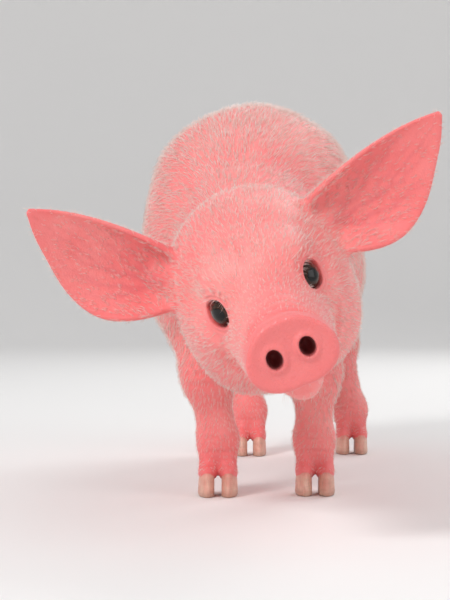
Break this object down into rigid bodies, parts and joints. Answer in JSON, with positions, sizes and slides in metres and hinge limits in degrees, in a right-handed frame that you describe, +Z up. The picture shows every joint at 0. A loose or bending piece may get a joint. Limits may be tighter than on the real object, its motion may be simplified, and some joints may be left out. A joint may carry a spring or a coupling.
{
  "type": "piglet",
  "caption": "Young domestic pig standing on all fours with a lowered, sideways tilted head, wide ears and a curled tail.",
  "frame": {"origin": "middle of the whole animal's box, on the floor", "axes": "+Z up, the snout points to -Y and the tail to +Y, the animal's own left side is +X"},
  "size_m": [0.2548, 0.6475, 0.2946],
  "materials": {
    "skin": "soft matt skin under fine pale bristle",
    "hoof": "satin horn",
    "eye": "wet gloss"
  },
  "bodies": {
    "root": {"ear_left": "skin", "ear_right": "skin", "eye_left": "eye", "eye_right": "eye", "front_left_inner_claw": "hoof", "front_left_inner_dewclaw": "hoof", "front_left_lower_leg": "skin", "front_left_outer_claw": "hoof", "front_left_outer_dewclaw": "hoof", "front_left_upper_leg": "skin", "front_right_inner_claw": "hoof", "front_right_inner_dewclaw": "hoof", "front_right_lower_leg": "skin", "front_right_outer_claw": "hoof", "front_right_outer_dewclaw": "hoof", "front_right_upper_leg": "skin", "head": "skin", "hind_left_inner_claw": "hoof", "hind_left_inner_dewclaw": "hoof", "hind_left_lower_leg": "skin", "hind_left_outer_claw": "hoof", "hind_left_outer_dewclaw": "hoof", "hind_left_upper_leg": "skin", "hind_right_inner_claw": "hoof", "hind_right_inner_dewclaw": "hoof", "hind_right_lower_leg": "skin", "hind_right_outer_claw": "hoof", "hind_right_outer_dewclaw": "hoof", "hind_right_upper_leg": "skin", "lower_jaw": "skin", "neck": "skin", "snout": "skin", "tail": "skin", "torso": "skin"}
  },
  "joints": []
}
